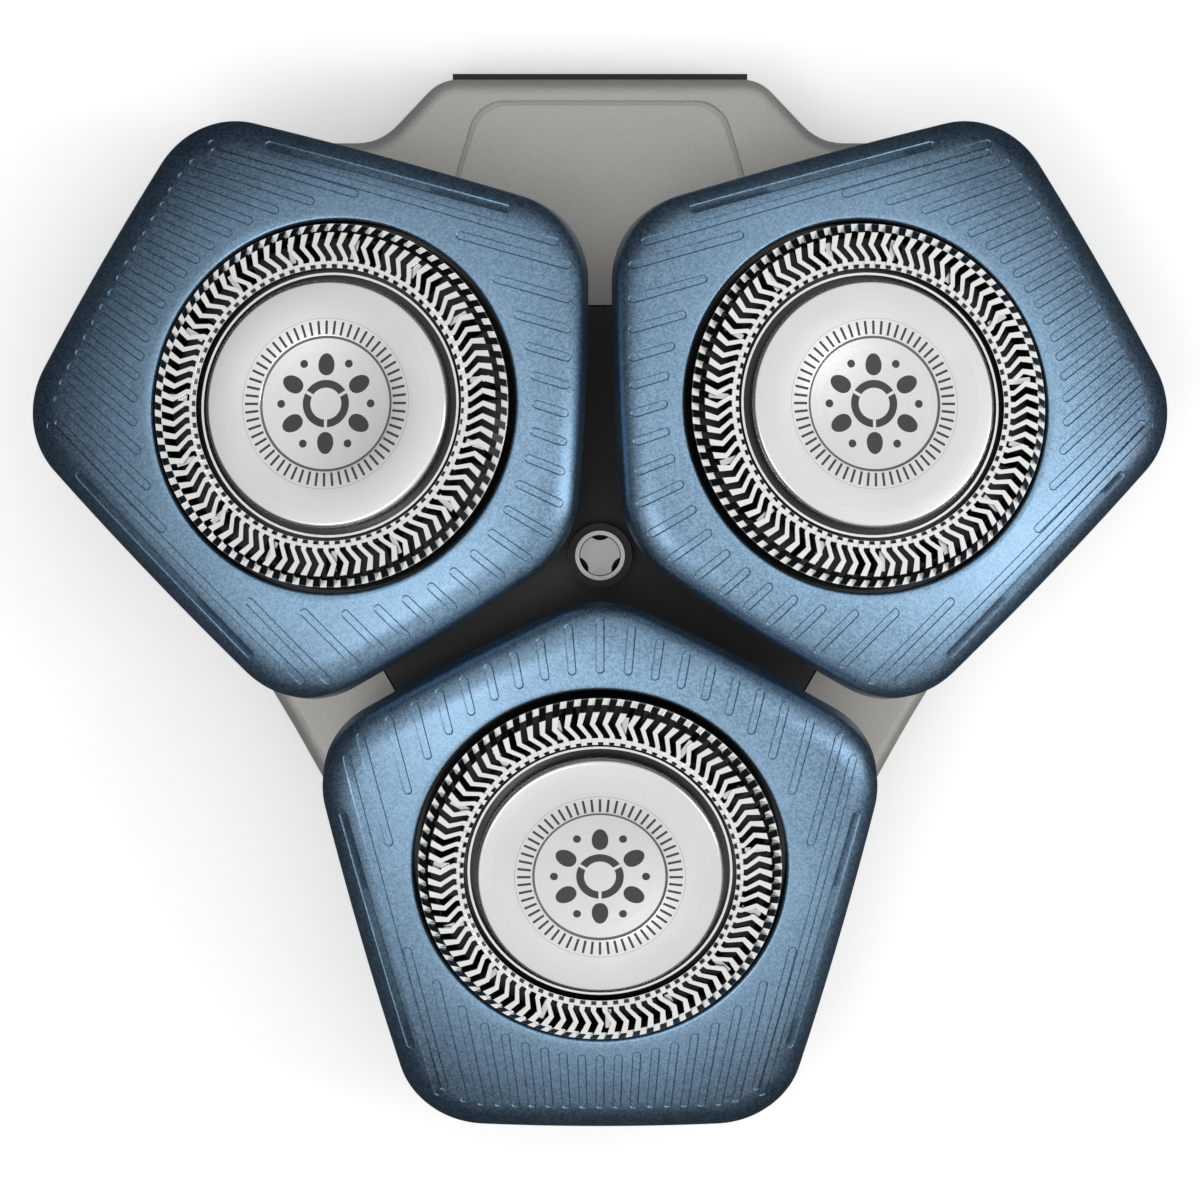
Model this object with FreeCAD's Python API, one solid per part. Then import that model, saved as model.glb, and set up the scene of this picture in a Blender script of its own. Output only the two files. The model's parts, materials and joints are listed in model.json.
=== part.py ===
import FreeCAD, Part
import math
import os

from FreeCAD import Vector

# Rotary shaver head with three tilting cutting heads.
# Millimetres. +Z points to the shaving side, +Y to the lobe that carries the
# hinge, and the origin is on the unit's axis in the rear plane it stands on.

# Layout of the three heads
head_azimuths = {"right": 30.0, "left": 150.0, "lower": 270.0}
head_radius = 18.4          # unit's axis to the middle of a cap opening
head_height = 17.0          # rear plane to the middle of a cap opening
head_tilt = 15.0            # each head leans outward by this at rest
pivot_depth = 7.6           # tilt axis below the cap opening, along the head

# Fits and clearances
running_fit = 0.05          # radial, shafts that turn
sliding_gap = 0.05          # faces that slide or stop against each other
assembly_gap = 0.1          # between mouldings that are fixed together
free_gap = 0.3              # around pieces that move
cut_over = 1.0              # how far a cutting tool runs past the face it opens

# Cap: the blue skirt of a head, in the head's own frame
opening_radius = 11.16
cap_apex_reach = 16.6       # towards the unit's axis
cap_shoulder_x = 6.9
cap_shoulder_y = 17.4
cap_outer_reach = 17.45
cap_outer_half = 11.05
cap_apex_round = 6.0
cap_shoulder_round = 5.4
cap_outer_round = 5.2
cap_inner_bow = 0.45        # how far each side stands out of a straight line
cap_side_bow = 0.22
cap_outer_bow = 0.15
bow_share = 0.3             # of a bowed side, each way from its middle, as one arc
cap_crown_radius = 90.0
cap_wall = 1.2
cap_top = 1.3
cap_edge_round = 1.1
cap_lip_round = 0.25
cap_apex_depth = 2.4        # skirt depth at the apex
cap_skirt_slope = 0.1       # the skirt grows deeper outward by this much
cap_collar_depth = 1.7
cap_collar_wall = 1.4

# Guard: the slotted steel cup and the pressed disc in its middle
guard_radius = 10.88
guard_wall = 0.42
guard_shoulder = 0.5        # height of the outer wall in the slots
track_height = 1.3
track_outer = 10.27
track_inner = 8.40
track_sheet = 0.26
bevel_wall = 0.21
inner_wall_radius = 8.16
inner_wall_height = 1.12
guard_floor = 0.05
guard_floor_sheet = 0.4
guard_flange_reach = 0.87
guard_flange_sheet = 0.5
rim_radius = 7.92
rim_wall = 0.14
rim_height = 0.75
pip_radius = 0.9
pip_depth = 1.15
slot_count = 79
slot_peak_radius = 9.54
slot_turn_radius = 8.78
slot_peak_swing = 2.75      # degrees that the zigzag leans out of the radius
slot_turn_swing = -0.3
slot_end_angle = 2.1        # angular widths of a slot
slot_middle_angle = 2.7
slot_inner_angle = 2.4

disc_radius = 7.4
disc_height = 1.75
disc_sheet = 0.3
disc_edge_round = 0.25
disc_step_radius = 4.0
disc_step = 0.12

# Cutter and driver
blade_count = 15
blade_inner = 8.75
blade_outer = 9.95
blade_thickness = 0.34
blade_lean = 1.0
cutter_radius = 10.2
cutter_hole = 3.0
cutter_sheet = 0.35
cutter_depth = 1.15
driver_flange = 4.2
driver_flange_sheet = 0.6
driver_stem = 2.6
driver_boss_wall = 0.6
driver_depth = 6.2
socket_radius = 1.6
socket_length = 3.0
key_width = 0.6
key_reach = 0.4
key_count = 3
float_travel = 0.8

# Carrier, retainer and tilt pins
carrier_inner = 12.0
carrier_wall = 0.8
carrier_depth = 5.6
ledge_radius = 11.1
ledge_sheet = 0.75
retainer_inner = 8.2
retainer_sheet = 0.7
lug_width = 4.0
lug_outer = 11.8
lug_sheet = 1.2
pin_radius = 0.8

# Front frame
outline_outer = 31.1        # unit's axis to the rim below a head
outline_web = 21.9          # unit's axis to the edge between two heads
outline_web_bow = 0.4
web_middle_round = 60.0
rim_corner_round = 9.0
lobe_reach = 28.6
lobe_half_width = 9.7
lobe_corner_round = 2.4
lobe_foot_half = 13.4
lobe_foot_y = 24.7
lobe_foot_round = 3.6
frame_apex = 11.7           # height of the sloping top where it meets the axis
frame_slope = 10.0
frame_wall = 1.3
frame_edge_round = 1.0
head_clear_radius = 13.1
panel_half_top = 7.3
panel_half_foot = 9.6
panel_top_y = 27.2
panel_foot_y = 19.5
panel_corner_round = 2.2
panel_groove = 0.3
boss_radius = 1.8
boss_place = 17.0

# Bridge: the black moulding between the caps
arm_width = 5.0
arm_reach = 14.9
arm_sheet = 2.0
bridge_boss = 3.4
pin_top = 12.4
collar_radius = 1.94
collar_drop = 0.2
ring_radius = 1.5
ring_wall = 0.25
ring_length = 3.0

# Chassis
plate_low = 2.2
plate_high = 3.4
locating_wall = 1.0
locating_height = 1.6
lip_half_width = 9.0
lip_reach = 0.35
coupling_radius = 20.0
coupling_wall = 1.4
drive_place = 13.9
drive_radius = 4.3
drive_collar = 0.8
drive_collar_height = 1.4
ear_sheet = 1.0
ear_round = 1.7
spindle_radius = 1.2
seal_section = 0.6
seal_height = 1.1
seal_grip = 0.35
axle_radius = 0.7
axle_half_length = 8.4
axle_y = 25.0
axle_height = 1.3
hinge_lug_middle = 7.0
hinge_lug_sheet = 1.6
hinge_lug_width = 2.6
hook_half_width = 3.0
hook_place = 25.0
hook_sheet = 1.6
hook_nose = 0.7
hook_low = 0.2
hook_nose_low = 0.8
hook_nose_high = 1.2

# Lock and screws
knob_radius = 5.6
knob_sheet = 1.0
grip_length = 10.4
grip_width = 2.8
grip_height = 1.0
grip_round = 1.26
notch_radius = 0.8
notch_place = 1.72
notch_depth = 1.5
screw_head_radius = 1.5
screw_head_sheet = 0.8
screw_radius = 0.8
screw_length = 4.6

# Levels that several pieces share, in a head's frame
flange_top = -(cap_collar_depth + sliding_gap)
flange_low = flange_top - guard_flange_sheet
ledge_top = flange_low - float_travel - sliding_gap
ledge_low = ledge_top - ledge_sheet
track_low = track_height - track_sheet
floor_low = guard_floor - guard_floor_sheet
cutter_low = -cutter_depth - cutter_sheet
carrier_outer = carrier_inner + carrier_wall
ear_inner = lug_outer + free_gap
ear_outer = ear_inner + ear_sheet

axis_x = Vector(1, 0, 0)
axis_y = Vector(0, 1, 0)
axis_z = Vector(0, 0, 1)
centre = Vector(0, 0, 0)


def polar(radius, degrees, height=0.0):
    angle = math.radians(degrees)
    return Vector(radius * math.cos(angle), radius * math.sin(angle), height)


def rounded_wire(corners, rounds, height=0.0):
    """A closed outline of straight runs, with each corner rounded by an arc."""
    points = [Vector(x, y, height) for x, y in corners]
    count = len(points)
    entries = []
    for i, corner in enumerate(points):
        back = (points[i - 1] - corner).normalize()
        ahead = (points[(i + 1) % count] - corner).normalize()
        half = back.getAngle(ahead) / 2
        run = rounds[i] / math.tan(half)
        inward = (back + ahead).normalize()
        middle = corner + inward * (rounds[i] / math.sin(half) - rounds[i])
        entries.append((corner + back * run, middle, corner + ahead * run))
    edges = []
    for i in range(count):
        start, middle, end = entries[i]
        if rounds[i] > 0:
            edges.append(Part.Arc(start, middle, end).toShape())
        nxt = entries[(i + 1) % count][0]
        if end.distanceToPoint(nxt) > 1e-6:
            edges.append(Part.LineSegment(end, nxt).toShape())
    return Part.Wire(Part.__sortEdges__(edges))


def prism(wire, low, high):
    face = Part.Face(wire)
    face.translate(Vector(0, 0, low - wire.BoundBox.ZMin))
    return face.extrude(Vector(0, 0, high - low))


def turned(profile):
    """A solid of revolution about Z from (radius, height) corners."""
    points = [Vector(r, 0, h) for r, h in profile]
    face = Part.Face(Part.makePolygon(points + points[:1]))
    return face.revolve(centre, axis_z, 360)


def disc(radius, low, high, x=0.0, y=0.0):
    return Part.makeCylinder(radius, high - low, Vector(x, y, low))


def tube(outer, inner, low, high):
    return disc(outer, low, high).cut(disc(inner, low, high))


def block(x0, x1, y0, y1, z0, z1):
    return Part.makeBox(x1 - x0, y1 - y0, z1 - z0, Vector(x0, y0, z0))


def turn_z(shape, degrees):
    copy = shape.copy()
    copy.rotate(centre, axis_z, degrees)
    return copy


def in_place(shape, azimuth):
    """Take a piece from a head's own frame to its place on the unit."""
    copy = shape.copy()
    copy.rotate(centre, axis_y, head_tilt)
    copy.translate(Vector(head_radius, 0, head_height))
    copy.rotate(centre, axis_z, azimuth)
    return copy


def bowed(corners, bows):
    """Put a corner in the middle of each side, stood out by that side's bow."""
    out = []
    count = len(corners)
    for i, (x0, y0) in enumerate(corners):
        x1, y1 = corners[(i + 1) % count]
        length = math.hypot(x1 - x0, y1 - y0)
        out.append((x0, y0))
        out.append(((x0 + x1) / 2 + (y1 - y0) / length * bows[i],
                    (y0 + y1) / 2 - (x1 - x0) / length * bows[i]))
    return out


def bow_round(length, bow):
    """The radius that turns the middle of a bowed side into one long arc."""
    return bow_share * length / math.tan(2 * bow / length)


def cap_wire():
    corners = [(-cap_apex_reach, 0.0),
               (-cap_shoulder_x, -cap_shoulder_y),
               (cap_outer_reach, -cap_outer_half),
               (cap_outer_reach, cap_outer_half),
               (-cap_shoulder_x, cap_shoulder_y)]
    bows = [cap_inner_bow, cap_side_bow, cap_outer_bow, cap_side_bow, cap_inner_bow]
    rounds = [cap_apex_round, cap_shoulder_round, cap_outer_round,
              cap_outer_round, cap_shoulder_round]
    every = []
    for i in range(5):
        x0, y0 = corners[i]
        x1, y1 = corners[(i + 1) % 5]
        every += [rounds[i], bow_round(math.hypot(x1 - x0, y1 - y0), bows[i])]
    return rounded_wire(bowed(corners, bows), every)


def crown_height(radius):
    """Height of the crowned top, which passes through the edge of the opening."""
    return (math.sqrt(cap_crown_radius ** 2 - radius ** 2)
            - math.sqrt(cap_crown_radius ** 2 - opening_radius ** 2))


def crown(drop):
    sink = cap_crown_radius - crown_height(0)
    return Part.makeSphere(cap_crown_radius - drop, Vector(0, 0, -sink))


def skirt_bottom():
    """Everything below the slanting lower edge of the skirt."""
    reach = 2 * cap_outer_reach
    slope = math.degrees(math.atan(cap_skirt_slope))
    low = block(-reach, reach, -reach, reach, -reach, 0)
    low.translate(Vector(cap_apex_reach, 0, 0))
    low.rotate(centre, axis_y, slope)
    low.translate(Vector(-cap_apex_reach, 0, -cap_apex_depth))
    return low


def on_crown(edge):
    middle = edge.valueAt((edge.FirstParameter + edge.LastParameter) / 2)
    return abs(middle.z - crown_height(math.hypot(middle.x, middle.y))) < 1e-3


def cap():
    deep = -(cap_apex_depth + 3 * cap_outer_reach * cap_skirt_slope)
    high = cap_top + cut_over
    wire = cap_wire()
    body = prism(wire, deep, cap_top).cut(disc(opening_radius, deep - cut_over, high))
    body = body.common(crown(0))
    hollow = prism(wire.makeOffset2D(-cap_wall), deep - cut_over, cap_top)
    hollow = hollow.cut(disc(opening_radius + cap_collar_wall, -cap_collar_depth, high))
    body = body.cut(hollow.common(crown(cap_top))).cut(skirt_bottom())
    top_edges = [e for e in body.Edges if on_crown(e)]
    outer = [e for e in top_edges if e.BoundBox.ZMax < -1e-3]
    body = body.makeFillet(cap_edge_round, outer)
    lip = [e for e in body.Edges if on_crown(e) and e.BoundBox.ZMin > -1e-3]
    return body.makeFillet(cap_lip_round, lip)


def guard_body():
    bevel_foot = guard_radius - guard_wall
    under = track_outer - bevel_wall
    edge = inner_wall_radius + guard_wall
    return turned([(0, floor_low - pip_depth),
                   (pip_radius, floor_low - pip_depth),
                   (pip_radius, floor_low),
                   (edge, floor_low),
                   (edge, track_low),
                   (under, track_low),
                   (bevel_foot, guard_shoulder),
                   (bevel_foot, flange_low),
                   (guard_radius + guard_flange_reach, flange_low),
                   (guard_radius + guard_flange_reach, flange_top),
                   (guard_radius, flange_top),
                   (guard_radius, guard_shoulder),
                   (track_outer, track_height),
                   (track_inner, track_height),
                   (inner_wall_radius, inner_wall_height),
                   (inner_wall_radius, guard_floor),
                   (rim_radius, guard_floor),
                   (rim_radius, rim_height),
                   (rim_radius - rim_wall, rim_height),
                   (rim_radius - rim_wall, guard_floor),
                   (0, guard_floor)])


def slot_tools():
    """One zigzag slot: through the track, and above the inner wall's squares."""
    outer = guard_radius + sliding_gap
    edge = inner_wall_radius + guard_wall
    inner = inner_wall_radius - sliding_gap
    stations = [(outer, 0.0, slot_end_angle),
                (slot_peak_radius, slot_peak_swing, slot_middle_angle),
                (slot_turn_radius, slot_turn_swing, slot_middle_angle),
                (edge, slot_turn_swing, slot_inner_angle)]
    left = [polar(r, swing - width / 2) for r, swing, width in stations]
    right = [polar(r, swing + width / 2) for r, swing, width in stations]
    ring = left + right[::-1]
    track = prism(Part.makePolygon(ring + ring[:1]), guard_shoulder, 2 * track_height)
    r, swing, width = stations[-1]
    ends = [polar(r, swing - width / 2), polar(r, swing + width / 2),
            polar(inner, swing + width / 2), polar(inner, swing - width / 2)]
    ends = prism(Part.makePolygon(ends + ends[:1]), inner_wall_height, 2 * track_height)
    return [track, ends]


def guard():
    pitch = 360.0 / slot_count
    tools = slot_tools()
    cuts = [turn_z(t, pitch * k) for k in range(slot_count) for t in tools]
    return guard_body().cut(Part.makeCompound(cuts))


def centre_disc():
    top = disc_height
    step = disc_height - disc_step
    shell = turned([(0, step), (0, step - disc_sheet),
                    (disc_radius - disc_sheet, step - disc_sheet),
                    (disc_radius - disc_sheet, guard_floor),
                    (disc_radius, guard_floor),
                    (disc_radius, top),
                    (disc_step_radius, top),
                    (disc_step_radius, step)])
    rim = [e for e in shell.Edges
           if isinstance(e.Curve, Part.Circle)
           and abs(e.Curve.Radius - disc_radius) < 1e-6
           and e.BoundBox.ZMin > top - 0.01]
    return shell.makeFillet(disc_edge_round, rim)


def blade():
    """One leaning blade; its tip runs just under the slotted track."""
    tip = track_low - sliding_gap
    foot = -cutter_depth - cutter_sheet / 2
    half = blade_thickness / 2
    side = [Vector(blade_inner, -half - blade_lean / 2, foot),
            Vector(blade_inner, half - blade_lean / 2, foot),
            Vector(blade_inner, half + blade_lean / 2, tip),
            Vector(blade_inner, -half + blade_lean / 2, tip)]
    face = Part.Face(Part.makePolygon(side + side[:1]))
    return face.extrude(Vector(blade_outer - blade_inner, 0, 0))


def cutter():
    plate = tube(cutter_radius, cutter_hole, cutter_low, -cutter_depth)
    blades = [turn_z(blade(), 360.0 / blade_count * k) for k in range(blade_count)]
    return plate.fuse(blades).removeSplitter()


def driver():
    top = floor_low - assembly_gap
    socket_end = -driver_depth + socket_length
    bore = pip_radius + running_fit
    boss = bore + driver_boss_wall
    body = turned([(bore, top), (boss, top), (boss, -cutter_depth),
                   (cutter_hole, -cutter_depth), (cutter_hole, cutter_low),
                   (driver_flange, cutter_low),
                   (driver_flange, cutter_low - driver_flange_sheet),
                   (driver_stem, cutter_low - driver_flange_sheet),
                   (driver_stem, -driver_depth), (0, -driver_depth),
                   (0, floor_low - pip_depth - assembly_gap),
                   (bore, floor_low - pip_depth - assembly_gap)])
    body = body.cut(disc(socket_radius, -driver_depth, socket_end))
    half = key_width / 2
    key = block(0, socket_radius + key_reach, -half, half, -driver_depth, socket_end)
    for k in range(key_count):
        body = body.cut(turn_z(key, 360.0 / key_count * k))
    return body


def carrier():
    ring = turned([(carrier_inner, -cap_collar_depth), (carrier_outer, -cap_collar_depth),
                   (carrier_outer, -carrier_depth), (carrier_inner, -carrier_depth),
                   (carrier_inner, ledge_low), (ledge_radius, ledge_low),
                   (ledge_radius, ledge_top), (carrier_inner, ledge_top)])
    half = lug_width / 2
    top = ledge_low - retainer_sheet - assembly_gap
    for side in (1, -1):
        y0, y1 = sorted((side * lug_outer, side * (lug_outer - lug_sheet)))
        lug = block(-half, half, y0, y1, -pivot_depth, top)
        r0, r1 = sorted((side * (lug_outer - lug_sheet), side * (carrier_inner + carrier_wall / 2)))
        root = block(-half, half, r0, r1, -carrier_depth, top)
        foot = Part.makeCylinder(half, y1 - y0, Vector(0, y0, -pivot_depth), axis_y)
        hole = Part.makeCylinder(pin_radius, y1 - y0, Vector(0, y0, -pivot_depth), axis_y)
        ring = ring.fuse(root).fuse(lug.fuse(foot).cut(hole))
    return ring.removeSplitter()


def pivot_pins():
    inner = lug_outer - lug_sheet
    length = ear_outer - inner
    right = Part.makeCylinder(pin_radius, length, Vector(0, inner, -pivot_depth), axis_y)
    left = Part.makeCylinder(pin_radius, length, Vector(0, -ear_outer, -pivot_depth), axis_y)
    return Part.makeCompound([right, left])


def retainer():
    return tube(carrier_inner - running_fit, retainer_inner,
                ledge_low - retainer_sheet, ledge_low)


def frame_corners():
    """The unit's outline seen from the front, from the lobe clockwise to the lobe."""
    outer = outline_outer
    web = outline_web
    cos30 = math.cos(math.radians(30))
    sin30 = 0.5
    upper = ((outer - sin30 * lobe_foot_y) / cos30, lobe_foot_y)
    side = ((outer + web) / (2 * cos30), (outer - web) / (2 * sin30))
    middle = (cos30 * (web - outline_web_bow), -sin30 * (web - outline_web_bow))
    lower = ((web - sin30 * outer) / cos30, -outer)
    right = [(lobe_half_width, lobe_reach), (lobe_foot_half, lobe_foot_y),
             upper, side, middle, lower]
    rounds = [lobe_corner_round, lobe_foot_round, rim_corner_round, rim_corner_round,
              web_middle_round, rim_corner_round]
    left = [(-x, y) for x, y in right[::-1]]
    return right + left, rounds + rounds[::-1]


def slope_height(radius):
    return frame_apex - radius * math.tan(math.radians(frame_slope))


def slope_solid(drop):
    """Everything below the sloping top, lowered by drop."""
    reach = 2 * outline_outer
    edge = slope_height(reach) - drop
    low = edge - frame_apex
    return turned([(0, low), (reach, low), (reach, edge), (0, frame_apex - drop)])


def on_slope(edge):
    """Whether an edge is on the rim of the sloping top, and not its seam."""
    middle = edge.valueAt((edge.FirstParameter + edge.LastParameter) / 2)
    top = slope_height(math.hypot(middle.x, middle.y))
    return abs(middle.z - top) < 1e-3 and edge.BoundBox.ZMax < slope_height(arm_reach)


def pivot_place():
    """Radius and height of the tilt axes."""
    tilt = math.radians(head_tilt)
    return (head_radius - pivot_depth * math.sin(tilt),
            head_height - pivot_depth * math.cos(tilt))


def head_openings(low, high):
    """Room for the three carriers and for the chassis ears beside them."""
    radial = pivot_place()[0]
    ear_end = ear_outer + free_gap
    half = ear_round + free_gap
    one = disc(head_clear_radius, low, high, radial, 0)
    one = one.fuse(block(radial - half, radial + half, -ear_end, ear_end, low, high))
    tools = [turn_z(one, a) for a in head_azimuths.values()]
    return tools[0].fuse(tools[1:])


def bridge_arms(width, reach, low, high):
    arm = block(0, reach, -width / 2, width / 2, low, high)
    arms = [turn_z(arm, a + 60) for a in head_azimuths.values()]
    return arms[0].fuse(arms[1:])


def web_azimuths():
    return [a + 60 for a in head_azimuths.values()]


def panel_ring():
    """The groove round the plain panel on the lobe."""
    def wire(grow):
        half_top = panel_half_top + grow
        half_foot = panel_half_foot + grow
        top = panel_top_y + grow
        corners = [(half_top, top), (half_foot, panel_foot_y),
                   (-half_foot, panel_foot_y), (-half_top, top)]
        return rounded_wire(corners, [panel_corner_round, 0.0, 0.0, panel_corner_round])
    high = frame_apex
    ring = prism(wire(panel_groove / 2), plate_high, high)
    ring = ring.cut(prism(wire(-panel_groove / 2), plate_high, high))
    keep = block(-lobe_reach, lobe_reach, panel_foot_y + panel_groove, lobe_reach, 0, high)
    return ring.common(keep).cut(slope_solid(panel_groove))


def front_frame():
    corners, rounds = frame_corners()
    wire = rounded_wire(corners, rounds)
    high = frame_apex + cut_over
    outer = prism(wire, plate_high, high).common(slope_solid(0))
    outer = outer.makeFillet(frame_edge_round, [e for e in outer.Edges if on_slope(e)])
    inner = prism(wire.makeOffset2D(-frame_wall), plate_high, high)
    outer = outer.cut(inner.common(slope_solid(frame_wall)))
    bosses = []
    for azimuth in web_azimuths():
        spot = polar(boss_place, azimuth)
        bosses.append(disc(boss_radius, plate_high, high, spot.x, spot.y))
    outer = outer.fuse([b.common(slope_solid(frame_wall / 2)) for b in bosses])
    outer = outer.cut(head_openings(plate_high, high))
    outer = outer.cut(bridge_arms(arm_width, arm_reach + assembly_gap, plate_high, high))
    outer = outer.cut(disc(bridge_boss + assembly_gap, plate_high, high))
    for azimuth in web_azimuths():
        spot = polar(boss_place, azimuth)
        outer = outer.cut(disc(screw_radius, plate_high, plate_low + screw_length,
                               spot.x, spot.y))
    return outer.cut(panel_ring()).removeSplitter()


def centre_bridge():
    high = frame_apex + cut_over
    arms = bridge_arms(arm_width - 2 * assembly_gap, arm_reach, plate_high, high)
    arms = arms.common(slope_solid(0)).cut(slope_solid(arm_sheet))
    boss = disc(bridge_boss, plate_high, frame_apex).common(slope_solid(0))
    body = arms.fuse(boss).fuse(disc(collar_radius, plate_high, pin_top - collar_drop))
    body = body.cut(disc(ring_radius, pin_top - ring_length, high))
    return body.cut(disc(spindle_radius + running_fit, plate_high, high)).removeSplitter()


def pin_ring():
    return tube(ring_radius, ring_radius - ring_wall, pin_top - ring_length, pin_top)


def ear():
    """One chassis ear, in the frame of its head's azimuth, before mirroring."""
    radial, height = pivot_place()
    stem = block(radial - ear_round, radial + ear_round, ear_inner, ear_inner + ear_sheet,
                 plate_low, height)
    start = Vector(radial, ear_inner, height)
    return stem.fuse(Part.makeCylinder(ear_round, ear_sheet, start, axis_y))


def ear_hole():
    radial, height = pivot_place()
    reach = ear_outer + cut_over
    return Part.makeCylinder(pin_radius + running_fit, 2 * reach,
                             Vector(radial, -reach, height), axis_y)


def chassis():
    corners, rounds = frame_corners()
    wire = rounded_wire(corners, rounds)
    body = prism(wire, plate_low, plate_high)
    lip = block(-lip_half_width, lip_half_width, lobe_foot_y, lobe_reach + lip_reach,
                plate_low, plate_high)
    body = body.fuse(lip)
    outside = wire.makeOffset2D(-(frame_wall + assembly_gap))
    inside = wire.makeOffset2D(-(frame_wall + assembly_gap + locating_wall))
    wall_top = plate_high + locating_height
    body = body.fuse(prism(outside, plate_high, wall_top).cut(
        prism(inside, plate_high, wall_top)))
    body = body.fuse(tube(coupling_radius, coupling_radius - coupling_wall, 0, plate_low))
    body = body.cut(Part.makeTorus(coupling_radius + seal_section - seal_grip, seal_section,
                                   Vector(0, 0, seal_height)))
    for azimuth in head_azimuths.values():
        one = ear().fuse(ear().mirror(centre, axis_y))
        spot = polar(drive_place, azimuth)
        tower = disc(drive_radius + drive_collar, plate_low,
                     plate_high + drive_collar_height, spot.x, spot.y)
        body = body.fuse(turn_z(one, azimuth)).fuse(tower)
        body = body.cut(turn_z(ear_hole(), azimuth))
        body = body.cut(disc(drive_radius, 0, 2 * plate_high, spot.x, spot.y))
    for azimuth in web_azimuths():
        spot = polar(boss_place, azimuth)
        body = body.cut(disc(screw_radius + running_fit, 0, plate_high, spot.x, spot.y))
    for side in (1, -1):
        x0, x1 = sorted((side * (hinge_lug_middle - hinge_lug_sheet / 2),
                         side * (hinge_lug_middle + hinge_lug_sheet / 2)))
        lug = block(x0, x1, axle_y - hinge_lug_width / 2, axle_y + hinge_lug_width / 2,
                    axle_height, plate_low)
        foot = Part.makeCylinder(hinge_lug_width / 2, x1 - x0,
                                 Vector(x0, axle_y, axle_height), axis_x)
        body = body.fuse(lug.fuse(foot))
    body = body.cut(Part.makeCylinder(axle_radius, 4 * axle_half_length,
                                      Vector(-2 * axle_half_length, axle_y, axle_height),
                                      axis_x))
    body = body.cut(disc(spindle_radius + running_fit, 0, plate_high))
    return body.fuse(latch_hook()).removeSplitter()


def latch_hook():
    """The moulded hook that snaps into the handle, opposite the hinge."""
    x0 = -hook_half_width
    y0 = -hook_place
    y1 = y0 - hook_sheet
    side = [Vector(x0, y0, plate_low), Vector(x0, y1, plate_low),
            Vector(x0, y1, hook_nose_high), Vector(x0, y1 - hook_nose, hook_nose_low),
            Vector(x0, y1, hook_low), Vector(x0, y0, hook_low)]
    face = Part.Face(Part.makePolygon(side + side[:1]))
    return face.extrude(Vector(2 * hook_half_width, 0, 0))


def seal_ring():
    return Part.makeTorus(coupling_radius + seal_section - seal_grip, seal_section,
                          Vector(0, 0, seal_height))


def hinge_axle():
    return Part.makeCylinder(axle_radius, 2 * axle_half_length,
                             Vector(-axle_half_length, axle_y, axle_height), axis_x)


def cover_screws():
    screws = []
    for azimuth in web_azimuths():
        spot = polar(boss_place, azimuth)
        head = disc(screw_head_radius, plate_low - screw_head_sheet, plate_low, spot.x, spot.y)
        shank = disc(screw_radius, plate_low - screw_head_sheet, plate_low + screw_length,
                     spot.x, spot.y)
        screws.append(head.fuse(shank).removeSplitter())
    return Part.makeCompound(screws)


def lock_spindle():
    """The turning pin; its front end is cut to three lobes."""
    shaft = disc(spindle_radius, grip_height, pin_top)
    for azimuth in web_azimuths():
        spot = polar(notch_place, azimuth)
        shaft = shaft.cut(disc(notch_radius, pin_top - notch_depth, pin_top + cut_over,
                               spot.x, spot.y))
    return shaft


def lock_knob():
    plate = disc(knob_radius, grip_height, grip_height + knob_sheet)
    half_l = grip_length / 2
    half_w = grip_width / 2
    grip = rounded_wire([(half_l, -half_w), (half_l, half_w), (-half_l, half_w),
                         (-half_l, -half_w)], [grip_round] * 4)
    body = plate.fuse(prism(grip, 0, grip_height))
    return body.cut(disc(spindle_radius, grip_height, 2 * plate_high)).removeSplitter()


def save(shape, node):
    shape.exportStep("parts/" + node + ".step")


def main():
    os.makedirs("parts", exist_ok=True)
    head_pieces = {"cap": cap(), "carrier": carrier(), "pivot_pins": pivot_pins(),
                   "retainer": retainer(), "guard": guard(), "disc": centre_disc(),
                   "cutter": cutter(), "driver": driver()}
    for name, azimuth in head_azimuths.items():
        for piece, shape in head_pieces.items():
            save(in_place(shape, azimuth), name + "_" + piece)
    single = {"front_frame": front_frame, "centre_bridge": centre_bridge,
              "chassis": chassis, "seal_ring": seal_ring, "hinge_axle": hinge_axle,
              "cover_screws": cover_screws, "pin_ring": pin_ring,
              "lock_spindle": lock_spindle, "lock_knob": lock_knob}
    for node, make in single.items():
        save(make(), node)


main()
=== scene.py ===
import json
import math

import bmesh
import bpy
import numpy as np
from mathutils import Matrix, Vector


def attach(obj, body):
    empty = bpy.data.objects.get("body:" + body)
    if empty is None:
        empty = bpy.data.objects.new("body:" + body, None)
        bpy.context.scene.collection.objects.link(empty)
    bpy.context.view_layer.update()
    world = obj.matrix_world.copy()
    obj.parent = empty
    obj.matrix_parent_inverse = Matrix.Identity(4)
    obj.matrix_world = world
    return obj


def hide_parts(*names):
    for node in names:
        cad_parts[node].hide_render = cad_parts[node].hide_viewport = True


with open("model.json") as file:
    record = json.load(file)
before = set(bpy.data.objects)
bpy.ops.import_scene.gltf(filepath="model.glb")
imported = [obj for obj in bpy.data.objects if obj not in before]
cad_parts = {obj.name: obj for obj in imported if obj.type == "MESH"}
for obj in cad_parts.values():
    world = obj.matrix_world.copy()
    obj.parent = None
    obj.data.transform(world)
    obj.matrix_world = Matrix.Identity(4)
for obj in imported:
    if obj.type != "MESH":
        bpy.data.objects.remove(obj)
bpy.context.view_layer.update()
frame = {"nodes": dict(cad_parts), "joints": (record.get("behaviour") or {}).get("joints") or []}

# Camera
# It stands over the shaving side of the unit, leaning 3.7 degrees towards the
# lobe, and looks at the middle of the plane that the three openings lie in.
mm = 0.001
aim = Vector((0, -2.39, 17.0)) * mm
camera_lean = math.radians(3.7)
camera_distance = 500 * mm
seen_width = 71.68 * mm
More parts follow.
